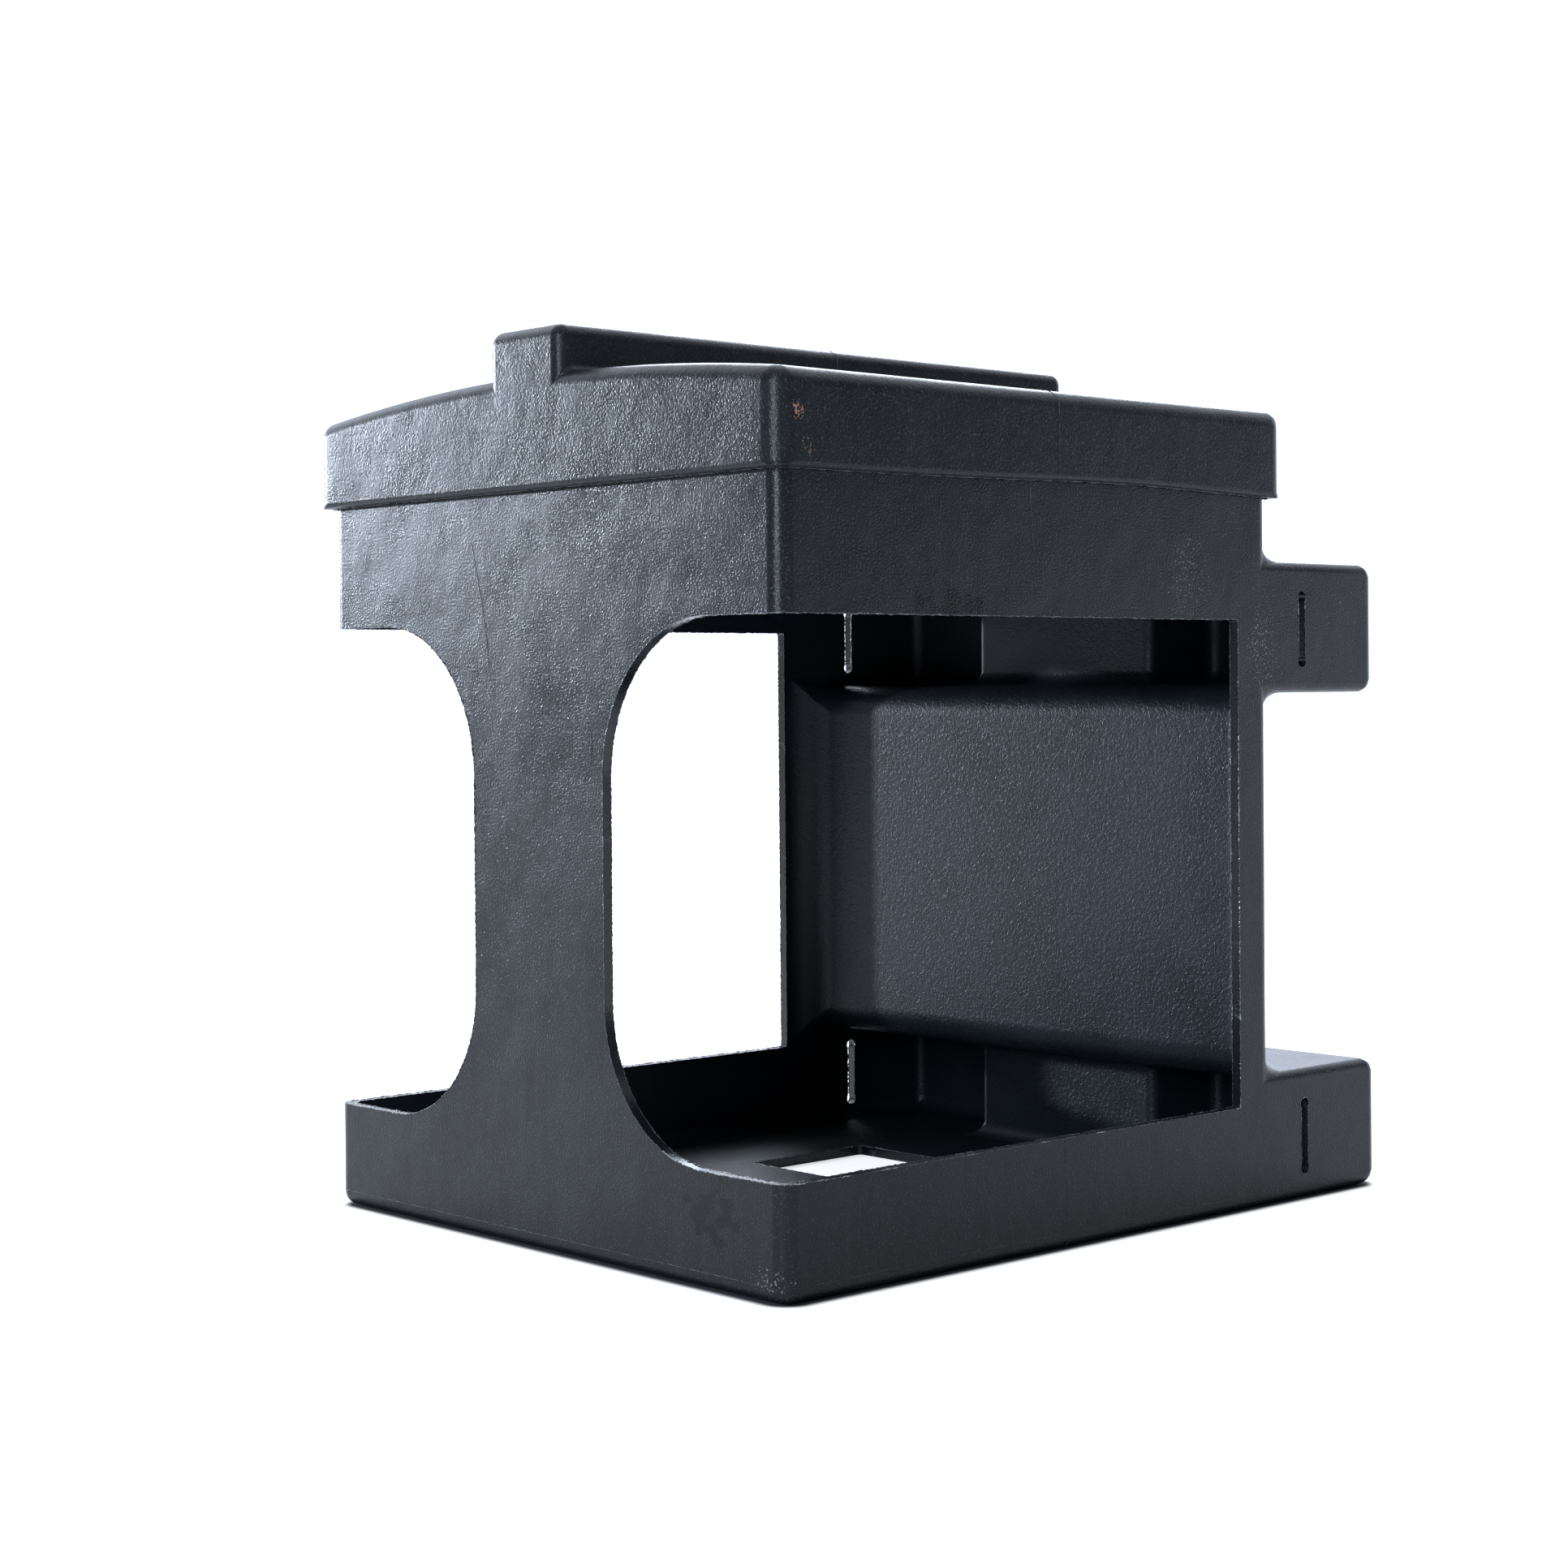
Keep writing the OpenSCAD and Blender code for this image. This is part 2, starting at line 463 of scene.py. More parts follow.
@dataclass(frozen=True)
class MouldedSkin(Finish):
    """Rotomoulded polyethylene as it left a blasted mould: dull, dark and pebbled.

    A share is the most that a tone covers, and a range is where its pattern starts and is at its full.
    """

    deep: str
    pale: str
    # The colour of the pale flecks on the grain's tips, painted glints of the grain's sparkle.
    glint_fleck: str = "#4c5156"
    fleck_share: float = 0.5
    fleck_range: tuple[float, float] = (0.60, 0.69)
    streak: str = "#2b2e31"
    streak_share: float = 0.18
    streak_range: tuple[float, float] = (0.52, 0.72)
    streak_mm: float = 9
    streak_stretch: float = 20
    cloud_mm: float = 70
    cloud_range: tuple[float, float] = (0.32, 0.68)
    # A blasted mould's real grain is about 0.4 mm: it is drawn coarser, so that it shows.
    grain_mm: float = 1.25
    grain_height_mm: float = 0.125
    wave_mm: float = 34
    wave_height_mm: float = 0.35
    gloss: float = 0.22
    dullest: float = 0.32
    shine: float = 0.27
    marks: tuple[Mark, ...] = ()

    def build(self) -> Material:
        """Makes the material.

        Returns:
            The finished material.
        """
        tree, place = self.start()
        squeeze = (1, 1, 1 / self.streak_stretch)
        drawn = add_node(tree, "Mapping", sockets={"Vector": place, "Scale": squeeze})
        # Clouds in the pigment, slow waves from uneven cooling, the mould's grain and runs of dirty water.
        cloud, wave, pebble, water = (
            add_node(
                tree,
                "TexNoise",
                sockets={"Vector": where, "Scale": per_size(size_mm), "Detail": detail, "Roughness": rough},
            ).outputs["Fac"]
            for where, size_mm, detail, rough in (
                (place, self.cloud_mm, 5.0, 0.62),
                (place, self.wave_mm, 2.0, 0.5),
                (place, self.grain_mm, 2.0, 0.55),
                (drawn.outputs["Vector"], self.streak_mm, 3.0, 0.6),
            )
        )
        # Pale flecks on the grain's tips are painted glints of the grain's sparkle, water leaves faint
        # upright streaks, and the gloss is cloudy.
        glint_tips, runs, rough = (
            add_node(
                tree,
                "MapRange",
                sockets={"Value": value, "From Min": start, "From Max": full, "To Min": low, "To Max": high},
            ).outputs["Result"]
            for value, (start, full), low, high in (
                (pebble, self.fleck_range, 0.0, self.fleck_share),
                (water, self.streak_range, 0.0, self.streak_share),
                (cloud, self.cloud_range, self.gloss, self.dullest),
            )
        )
        shares = [(self.spread(tree, place, mark), mark) for mark in self.marks]
        tones = [
            (cloud, self.pale),
            (glint_tips, self.glint_fleck),
            (runs, self.streak),
            *[(share, mark.colour) for share, mark in shares],
        ]
        colour = linear(self.deep)
        for share, tone in tones:
            mix = add_node(tree, "Mix", {"data_type": "RGBA"}, {"Factor": share, 6: colour, 7: linear(tone)})
            colour = mix.outputs[2]
        for share, mark in shares:
            rough = add_node(tree, "Mix", sockets={"Factor": share, 2: rough, 3: mark.roughness}).outputs[0]
        swell = add_node(tree, "Bump", sockets={"Height": wave, "Distance": self.wave_height_mm * MM * 2})
        bump = add_node(
            tree,
            "Bump",
            sockets={
                "Height": pebble,
                "Distance": self.grain_height_mm * MM * 2,
                "Normal": swell.outputs["Normal"],
            },
        )
        sockets = {
            "Base Color": colour,
            "Roughness": rough,
            "Normal": bump.outputs["Normal"],
            "IOR": POLYETHYLENE_IOR,
            "Specular IOR Level": self.shine,
        }
        return self.close(tree, sockets)

    def spread(self, tree: NodeTree, place: NodeSocket, mark: Mark) -> NodeSocket:
        """Works out where one mark lies.

        Args:
            tree: The material's node tree.
            place: The object coordinates.
            mark: The mark.

        Returns:
            The mark's share of the surface from place to place.
        """
        away = add_node(
            tree, "VectorMath", {"operation": "SUBTRACT"}, {0: place, 1: [x * MM for x in mark.centre]}
        )
        scaled = add_node(
            tree,
            "VectorMath",
            {"operation": "DIVIDE"},
            {0: away.outputs[0], 1: [x * MM for x in mark.reach]},
        )
        far = add_node(tree, "VectorMath", {"operation": "LENGTH"}, {0: scaled.outputs[0]})
        core = add_node(
            tree,
            "MapRange",
            {"interpolation_type": "SMOOTHSTEP"},
            {
                "Value": far.outputs["Value"],
                "From Min": 0.1,
                "From Max": 1.0,
                "To Min": mark.cover,
                "To Max": 0.0,
            },
        )
        speck = add_node(
            tree,
            "TexNoise",
            sockets={"Vector": place, "Scale": per_size(mark.grain_mm), "Detail": 1.0, "Roughness": 0.6},
        )
        # The specks spread from the mark's centre as the threshold falls with the cover.
        over = add_node(
            tree, "Math", {"operation": "ADD"}, {0: speck.outputs["Fac"], 1: core.outputs["Result"]}
        )
        edge = add_node(
            tree,
            "MapRange",
            sockets={"Value": over.outputs[0], "From Min": 0.82, "From Max": 0.9, "To Max": mark.amount},
        )
        return edge.outputs["Result"]


@dataclass(frozen=True)
class MouldedInside(Finish):
    """The free inner face of rotomoulded polyethylene: glossier than the skin, with a leathery ripple."""

    deep: str
    pale: str
    cloud_mm: float = 55
    ripple_mm: float = 2.4
    ripple_height_mm: float = 0.17
    gloss: float = 0.34
    dullest: float = 0.48
    shine: float = 0.34

    def build(self) -> Material:
        """Makes the material.

        Returns:
            The finished material.
        """
        tree, place = self.start()
        cloud = add_node(
            tree,
            "TexNoise",
            sockets={"Vector": place, "Scale": per_size(self.cloud_mm), "Detail": 5.0, "Roughness": 0.6},
        )
        ripple = add_node(
            tree,
            "TexNoise",
            sockets={
                "Vector": place,
                "Scale": per_size(self.ripple_mm),
                "Detail": 2.0,
                "Roughness": 0.5,
                "Distortion": 1.2,
            },
        )
        mix = add_node(
            tree,
            "Mix",
            {"data_type": "RGBA"},
            {"Factor": cloud.outputs["Fac"], 6: linear(self.deep), 7: linear(self.pale)},
        )
        rough = add_node(
            tree,
            "MapRange",
            sockets={
                "Value": cloud.outputs["Fac"],
                "From Min": 0.3,
                "From Max": 0.7,
                "To Min": self.gloss,
                "To Max": self.dullest,
            },
        )
        bump = add_node(
            tree,
            "Bump",
            sockets={"Height": ripple.outputs["Fac"], "Distance": self.ripple_height_mm * MM * 2},
        )
        sockets = {
            "Base Color": mix.outputs[2],
            "Roughness": rough.outputs["Result"],
            "Normal": bump.outputs["Normal"],
            "IOR": POLYETHYLENE_IOR,
            "Specular IOR Level": self.shine,
        }
        return self.close(tree, sockets)


@dataclass(frozen=True)
class RouterTrim(Finish):
    """Polyethylene cut with a router: chattered, with pale patches that are partly stressed plastic and
    partly painted highlights on the cut edges.
    """

    deep: str
    pale: str
    pale_highlight_from: float
    pale_highlight_fade: float = 0.22
    roughness: float = 0.17
    stress_mm: float = 14
    # A router's real chatter is finer: it is drawn coarser, so that it shows.
    chatter_mm: float = 1.3
    chatter_height_mm: float = 0.12

    def build(self) -> Material:
        """Makes the material.

        Returns:
            The finished material.
        """
        tree, place = self.start()
        chatter = add_node(
            tree,
            "TexNoise",
            sockets={"Vector": place, "Scale": per_size(self.chatter_mm), "Detail": 3.0, "Roughness": 0.7},
        )
        stress = add_node(
            tree,
            "TexNoise",
            sockets={"Vector": place, "Scale": per_size(self.stress_mm), "Detail": 4.0, "Roughness": 0.7},
        )
        both = add_node(
            tree,
            "Math",
            {"operation": "MULTIPLY_ADD"},
            {0: chatter.outputs["Fac"], 1: 0.5, 2: stress.outputs["Fac"]},
        )
        share = add_node(
            tree,
            "MapRange",
            sockets={
                "Value": both.outputs[0],
                "From Min": self.pale_highlight_from,
                "From Max": self.pale_highlight_from + self.pale_highlight_fade,
            },
        )
        # The pale patches are stressed plastic and painted highlights where the cut edges catch the light.
        mix = add_node(
            tree,
            "Mix",
            {"data_type": "RGBA"},
            {"Factor": share.outputs["Result"], 6: linear(self.deep), 7: linear(self.pale)},
        )
        bump = add_node(
            tree, "Bump", sockets={"Height": chatter.outputs["Fac"], "Distance": self.chatter_height_mm * MM}
        )
        sockets = {
            "Base Color": mix.outputs[2],
            "Roughness": self.roughness,
            "Normal": bump.outputs["Normal"],
            "IOR": POLYETHYLENE_IOR,
        }
        return self.close(tree, sockets)


@dataclass(frozen=True)
class StagePaper(Finish):
    """Matt white paper over a light table, which brightens what would otherwise lie in shadow, with a contact
    shadow painted round and under the feeder's foot.
    """

    tint: str
    glow: float
    foot: Vector
    groove_half: float
    groove_bed: float
    corner_r: float = 13 * MM
    under: float = 75 * MM
    shade_reach: float = 8 * MM
    # The colour of the contact shadow painted round and under the feeder's foot.
    painted_shadow: str = "#26292d"
    cloud_mm: float = 400

    def build(self) -> Material:
        """Makes the material.

        Returns:
            The finished material.
        """
        tree, place = self.start()
        cloud = add_node(
            tree, "TexNoise", sockets={"Vector": place, "Scale": per_size(self.cloud_mm), "Detail": 3.0}
        )
        mix = add_node(
            tree,
            "Mix",
            {"data_type": "RGBA"},
            {"Factor": cloud.outputs["Fac"], 6: linear(self.tint), 7: linear("#ffffff")},
        )
        # How far a place is outside the foot's rounded rectangle, less than 0 within it.
        away = add_node(tree, "VectorMath", {"operation": "ABSOLUTE"}, {0: place}).outputs[0]
        past = add_node(tree, "VectorMath", {"operation": "SUBTRACT"}, {0: away, 1: self.foot}).outputs[0]
        side = add_node(tree, "SeparateXYZ", sockets={0: past}).outputs
        flat = add_node(tree, "Math", {"operation": "MAXIMUM"}, {0: side[0], 1: side[1]}).outputs[0]
        within = add_node(tree, "Math", {"operation": "MINIMUM"}, {0: flat, 1: 0}).outputs[0]
        beyond = add_node(tree, "VectorMath", {"operation": "MAXIMUM"}, {0: past, 1: (0, 0, 0)}).outputs[0]
        corner = add_node(tree, "VectorMath", {"operation": "LENGTH"}, {0: beyond}).outputs["Value"]
        far = add_node(tree, "Math", {"operation": "ADD"}, {0: within, 1: corner}).outputs[0]
        off_box = add_node(tree, "Math", {"operation": "SUBTRACT"}, {0: far, 1: self.corner_r}).outputs[0]
        # The post groove is open, so it counts as outside the foot.
        spot = add_node(tree, "SeparateXYZ", sockets={0: place}).outputs[1]
        level = add_node(tree, "SeparateXYZ", sockets={0: away}).outputs[0]
        wide = add_node(tree, "Math", {"operation": "SUBTRACT"}, {0: self.groove_half, 1: level}).outputs[0]
        deep = add_node(tree, "Math", {"operation": "SUBTRACT"}, {0: spot, 1: self.groove_bed}).outputs[0]
        groove = add_node(tree, "Math", {"operation": "MINIMUM"}, {0: wide, 1: deep}).outputs[0]
        off_foot = add_node(tree, "Math", {"operation": "MAXIMUM"}, {0: off_box, 1: groove}).outputs[0]
        # Further under than this, the light comes up through the floor's hole.
        inward = add_node(
            tree, "Math", {"operation": "MULTIPLY_ADD"}, {0: off_foot, 1: -1, 2: -self.under}
        ).outputs[0]
        gap = add_node(tree, "Math", {"operation": "MAXIMUM"}, {0: off_foot, 1: inward}).outputs[0]
        open_share = add_node(
            tree,
            "MapRange",
            {"interpolation_type": "SMOOTHSTEP"},
            {"Value": gap, "From Max": self.shade_reach},
        ).outputs["Result"]
        # Painted contact shadow: the paper's colour is darkened round and under the feeder's foot, and the
        # table's light is shaded there.
        paper = add_node(
            tree,
            "Mix",
            {"data_type": "RGBA"},
            {"Factor": open_share, 6: linear(self.painted_shadow), 7: mix.outputs[2]},
        )
        seen = add_node(tree, "LightPath").outputs["Is Camera Ray"]
        lit = add_node(tree, "Math", {"operation": "MULTIPLY"}, {0: seen, 1: open_share}).outputs[0]
        glow = add_node(tree, "Math", {"operation": "MULTIPLY"}, {0: lit, 1: self.glow})
        sockets = {
            "Base Color": paper.outputs[2],
            "Roughness": 0.9,
            "Emission Color": linear(self.tint),
            "Emission Strength": glow.outputs[0],
        }
        return self.close(tree, sockets)


@dataclass(frozen=True)
class Palette:
    """The materials of the whole feeder, each made once."""

    skin: Material
    lid_skin: Material
    inside: Material
    tray_floor: Material
    trim: Material
    burr: Material
    seam: Material


# --------------------------------------------------------------------------- the shell


@dataclass
class ShellForm:
    """A closed form in the shape of the shell: a block with a pair of ears low down and another higher up.

    The ears stand out behind the block, on both sides of a groove. Used once for the outer skin and
    once, a wall smaller, for the space inside.
    """

    name: str
    half_width: float
    front: float
    back: float
    groove_bed: float
    ear_back: float
    groove_half: float
    floor: float
    top: float
    ears: tuple[tuple[float, float], tuple[float, float]]
    corner_r: float
    wall_corner_r: float
    base_r: float
    ear_edge_r: float
    ear_side_r: float
    ear_root_r: float
    groove_corner_r: float
    groove_edge_r: float

    def build(self) -> Object:
        """Models the form.

        Returns:
            The form as a closed mesh.
        """
        form = add_box(
            self.name,
            Vector((-self.half_width, self.front, self.floor)),
            Vector((self.half_width, self.back, self.top)),
        )
        low_ear, high_ear = self.ears
        levels = [z for z in (*low_ear, *high_ear) if not near(z, self.floor)]
        with editing(form, "FACE"):
            for z in levels:
                slice_all(Vector((0, 0, z)), UPRIGHT)
            for side in Half:
                slice_all(Vector((side.value * self.groove_half, 0, 0)), Vector((1, 0, 0)))
            push_out(form, self.is_ear_root, Vector((0, self.groove_bed - self.back, 0)))
            push_out(form, self.is_ear_bed, Vector((0, self.ear_back - self.groove_bed, 0)))
        round_edges(form, self.radius_of, segments=8)
        return form

    def in_ears(self, z: float) -> bool:
        """Whether a height is within either pair of ears."""
        return any(low < z < high for low, high in self.ears)

    def is_ear_root(self, face: BMFace) -> bool:
        """Whether a face of the block is where ears stand out."""
        middle = face.calc_center_median()
        return face.normal.y > 0.5 and near(middle.y, self.back) and self.in_ears(middle.z)

    def is_ear_bed(self, face: BMFace) -> bool:
        """Whether a face level with the groove's bed belongs to an ear."""
        middle = face.calc_center_median()
        return face.normal.y > 0.5 and near(middle.y, self.groove_bed) and abs(middle.x) > self.groove_half

    def radius_of(self, middle: Vector, run: Axis, convex: bool) -> float:
        """The radius of one edge of the form.

        Args:
            middle: The edge's middle.
            run: The direction that it runs in.
            convex: Whether the form bulges there.

        Returns:
            The radius, or 0 for the open top's edge.
        """
        if near(middle.z, self.top):
            return 0
        if not convex:
            return self.groove_corner_r if run is Axis.Z else self.ear_root_r
        if run is Axis.Z:
            if near(abs(middle.x), self.groove_half):
                return self.groove_edge_r
            return self.wall_corner_r if near(middle.y, self.back) else self.corner_r
        if near(middle.z, self.floor):
            return self.ear_edge_r if near(middle.y, self.ear_back) else self.base_r
        return self.ear_edge_r if run is Axis.X else self.ear_side_r


@dataclass
class Shell:
    """The one-piece shell: tray, front column, upper band, back wall and ears in a single moulding."""

    palette: Palette
    wall: float = 6 * MM
    rim_z: float = 61 * MM
    opening_top_z: float = 347 * MM
    column_half: float = 58 * MM
    column_top_r: float = 86 * MM
    column_base_r: float = 80 * MM
    rear_post: float = 30 * MM
    ear_reach: float = 105 * MM
    ear_h: float = 78 * MM
    upper_ear_z: float = 304 * MM
    groove_w: float = 140 * MM
    groove_d: float = 60 * MM
    hole_w: float = 204 * MM
    hole_d: float = 96 * MM
    hole_front: float = 247 * MM
    slot_l: float = 46 * MM
    slot_w: float = 6.5 * MM
    drill_r: float = 4.1 * MM
    slot_rise: float = 38 * MM
    slot_back: float = 31 * MM
    chamfer: float = 0.55 * MM
    router_reach: float = 12 * MM
    router_corner_r: float = 1.6 * MM
    hole_corner_r: float = 3 * MM
    underside: float = 1 * MM
    base_line_z: float = 9 * MM
    parting_place: Vector = Vector((0, -45, 178)) * MM
    parting_normal: Vector = Vector((0, 1, 0.068)).normalized()

    def __post_init__(self) -> None:
        """Takes the shell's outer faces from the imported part."""
        self.low, self.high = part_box("body_shell")
        self.back = self.high.y - self.ear_reach

    def form(self, name: str, inset: float, radii_mm: dict[str, float]) -> Object:
        """Models the shell's outer faces, or the faces of the space inside it.

        Args:
            name: The new object's name.
            inset: How far inside the outer faces it lies. Its top is as far above the shell's.
            radii_mm: The radius of each of its kinds of edge, in millimetres.

        Returns:
            The form as a closed mesh.
        """
        return ShellForm(
            name=name,
            half_width=self.high.x - inset,
            front=self.low.y + inset,
            back=self.back - inset,
            groove_bed=self.high.y - self.groove_d - inset,
            ear_back=self.high.y - inset,
            groove_half=self.groove_w / 2 + inset,
            floor=self.low.z + inset,
            top=self.high.z + inset,
            ears=tuple((z + inset, z + self.ear_h - inset) for z in (0.0, self.upper_ear_z)),
            **{kind: radius * MM for kind, radius in radii_mm.items()},
        ).build()

    def outer_form(self) -> Object:
        """Models the outer skin as a closed form."""
        radii_mm = {
            "corner_r": 10,
            "wall_corner_r": 10,
            "base_r": 8,
            "ear_edge_r": 12,
            "ear_side_r": 6,
            "ear_root_r": 16,
            "groove_corner_r": 9,
            "groove_edge_r": 12,
        }
        form = self.form("outer_form", 0.0, radii_mm)
        give_finish(form, self.palette.skin)
        return form

    def inner_form(self) -> Object:
        """Models the space inside the walls, with the softer corners that molten plastic leaves."""
        radii_mm = {
            "corner_r": 8,
            "wall_corner_r": 22,
            "base_r": 9,
            "ear_edge_r": 9,
            "ear_side_r": 7,
            "ear_root_r": 20,
            "groove_corner_r": 7,
            "groove_edge_r": 8,
        }
        form = self.form("inner_form", self.wall, radii_mm)
        give_finish(form, self.palette.inside)
        form.data.materials.append(self.palette.tray_floor)
        for face in form.data.polygons:
            if near(face.center.z, self.wall):
                face.material_index = 1
        return form

    def opening_tool(self, side: Half) -> Object:
        """Models what the router takes from a front opening and the side opening round the corner.

        Args:
            side: Which half of the shell it is for.

        Returns:
            The closed shape that is cut away.
        """

        def is_column_end(edge: BMEdge, z: float) -> bool:
            """Whether an edge is where the column meets the band or the tray."""
            return all(near(v.co.z, z) and near(v.co.x, self.column_half) for v in edge.verts)

        past = 20 * MM
        rear = self.back - self.rear_post
        front_tool = add_box(
            "front_tool",
            Vector((self.column_half, self.low.y - past, self.rim_z)),
            Vector((self.high.x + past, self.low.y + self.wall + self.router_reach, self.opening_top_z)),
        )
        with editing(front_tool, "EDGE"):
            for z, radius in ((self.opening_top_z, self.column_top_r), (self.rim_z, self.column_base_r)):
                pick(front_tool, "edges", lambda edge, z=z: is_column_end(edge, z))
                bpy.ops.mesh.bevel(offset=radius, segments=30, affect="EDGES")
        side_tool = add_box(
            "side_tool",
            Vector((self.high.x - self.wall - past, self.low.y - past, self.rim_z)),
            Vector((self.high.x + past, rear, self.opening_top_z)),
        )
        with editing(side_tool, "EDGE"):
            pick(
                side_tool,
                "edges",
                lambda edge: all(near(v.co.y, rear) for v in edge.verts)
                and near(edge.verts[0].co.z, edge.verts[1].co.z),
            )
            bpy.ops.mesh.bevel(offset=self.router_corner_r, segments=3, affect="EDGES")
        combine(front_tool, side_tool, "UNION")
        return self.on_side(front_tool, side)

    def slot_tool(self, side: Half, ear_z: float) -> Object:
        """Models what is cut for one strap slot: a narrow saw cut between two drilled holes.

        Args:
            side: Which half of the shell it is for.
            ear_z: The height of the underside of its ear.

        Returns:
            The closed shape that is cut away.
        """
        middle = Vector((self.high.x, self.back + self.slot_back, ear_z + self.slot_rise))
        half_run = Vector((3 * self.wall, self.slot_w / 2, self.slot_l / 2 - self.drill_r))
        tool = add_box("slot_tool", middle - half_run, middle + half_run)
        for end in (-1, 1):
            place = middle + end * (self.slot_l / 2 - self.drill_r) * UPRIGHT
            combine(tool, add_drill("drill_tool", place, self.drill_r, 5.5 * self.wall), "UNION")
        return self.on_side(tool, side)

    def hole_tool(self) -> Object:
        """Models what is cut for the hole in the floor."""
        front = self.low.y + self.hole_front
        tool = add_box(
            "hole_tool",
            Vector((-self.hole_w / 2, front, -self.wall)),
            Vector((self.hole_w / 2, front + self.hole_d, 2 * self.wall)),
        )
        with editing(tool, "EDGE"):
            pick(tool, "edges", lambda edge: abs(edge.verts[0].co.z - edge.verts[1].co.z) > self.wall)
            bpy.ops.mesh.bevel(offset=self.hole_corner_r, segments=4, affect="EDGES")
        give_finish(tool, self.palette.trim)
        return tool

    def on_side(self, tool: Object, side: Half) -> Object:
        """Turns a tool made for the right side to its own side, with the trim's finish.

        Args:
            tool: The tool, as modelled on the right.
            side: The side that it is for.

        Returns:
            The same tool.
        """
        if side is Half.LEFT:
            with editing(tool, "FACE"):
                bpy.ops.mesh.select_all(action="SELECT")
                bpy.ops.transform.mirror(constraint_axis=(True, False, False), center_override=(0, 0, 0))
                bpy.ops.mesh.normals_make_consistent(inside=False)
        give_finish(tool, self.palette.trim)
        return tool

    def burrs(self, body: Object, trim_slot: int) -> Object:
        """Models the ragged burrs that the cutters left along the edges of every opening.

        Args:
            body: The shell, before its cut edges are chamfered.
            trim_slot: The number of the trim's slot on it.

        Returns:
            The burrs as one piece.
        """

        def is_cut_edge(edge: BMEdge) -> bool:
            """Whether an edge is where a cut meets the skin, above the underside."""
            cut = [face.material_index == trim_slot for face in edge.link_faces]
            return any(cut) and not all(cut) and min(v.co.z for v in edge.verts) > self.underside

        burrs = bead_along(
            body, "shell_burrs", is_cut_edge, thickness=0.26 * MM, wander=0.2 * MM, step=1.6 * MM, seed=4
        )
        # The burr finish's pale patches are partly painted highlights along the cut edges.
        give_finish(burrs, self.palette.burr)
        return burrs

    def mould_lines(self, body: Object) -> list[Object]:
        """Models the lines that the mould's joints left: one round the base and one up each side.

        Args:
            body: The shell.

        Returns:
            The two lines.
        """
        skin_slot = body.data.materials.find(self.palette.skin.name)

        def on_skin(edge: BMEdge) -> bool:
            """Whether an edge lies in the outer skin."""
            return all(face.material_index == skin_slot for face in edge.link_faces)

        base = bead_along(
            body,
            "shell_base_line",
            lambda edge: on_skin(edge) and all(near(v.co.z, self.base_line_z) for v in edge.verts),
            thickness=0.22 * MM,
            wander=0.05 * MM,
            step=4 * MM,
            seed=5,
            cut=(Vector((0, 0, self.base_line_z)), UPRIGHT),
        )
        parting = bead_along(
            body,
            "shell_parting_line",
            lambda edge: on_skin(edge)
            and all(
                near((v.co - self.parting_place).dot(self.parting_normal), 0) and v.co.z > self.underside
                for v in edge.verts
            ),
            thickness=0.3 * MM,
            wander=0.1 * MM,
            step=3 * MM,
            seed=6,
            cut=(self.parting_place, self.parting_normal),
        )
        for line in (base, parting):
            give_finish(line, self.palette.seam)
        return [base, parting]

    def scratches(self) -> list[Object]:
        """Models the scratches on the front column: a short hooked one and a long faint one.

        Returns:
            The two hairlines.
        """
        face = self.low.y
        hooked = add_scratch(
            "scratch_hooked",
            Vector((48 * MM, face, 286 * MM)),
            Vector((52 * MM, face, 270 * MM)),
            Vector((37 * MM, face, 262 * MM)),
            Vector((41 * MM, face, 254 * MM)),
            0.6 * MM,
        )
        give_finish(hooked, self.palette.burr)
        faint = add_scratch(
            "scratch_long",
            Vector((-58 * MM, face, 392 * MM)),
            Vector((-54 * MM, face, 376 * MM)),
            Vector((-43 * MM, face, 322 * MM)),
            Vector((-44 * MM, face, 346 * MM)),
            0.4 * MM,
        )
        give_finish(faint, self.palette.seam)
        return [hooked, faint]

    def build(self) -> list[Object]:
        """Models the shell with its flash and burrs.

        Returns:
            The shell's pieces.
        """
        body = self.outer_form()
        body.name = "shell_moulding"
        combine(body, self.inner_form(), "DIFFERENCE")
        for side in Half:
            combine(body, self.opening_tool(side), "DIFFERENCE")
            for ear_z in (0.0, self.upper_ear_z):
                combine(body, self.slot_tool(side, ear_z), "DIFFERENCE")
        combine(body, self.hole_tool(), "DIFFERENCE")
        trim_slot = body.data.materials.find(self.palette.trim.name)
        burrs = self.burrs(body, trim_slot)
        apply_modifier(
            body,
            "BEVEL",
            limit_method="ANGLE",
            angle_limit=math.radians(50),
            width=self.chamfer,
            segments=2,
            material=trim_slot,
        )
        pieces = [body, burrs, *self.mould_lines(body), *self.scratches()]
        smooth_faces(body)
        for piece in pieces:
            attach(piece, "body")
        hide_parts("body_shell")
        return pieces


# --------------------------------------------------------------------------- the lid


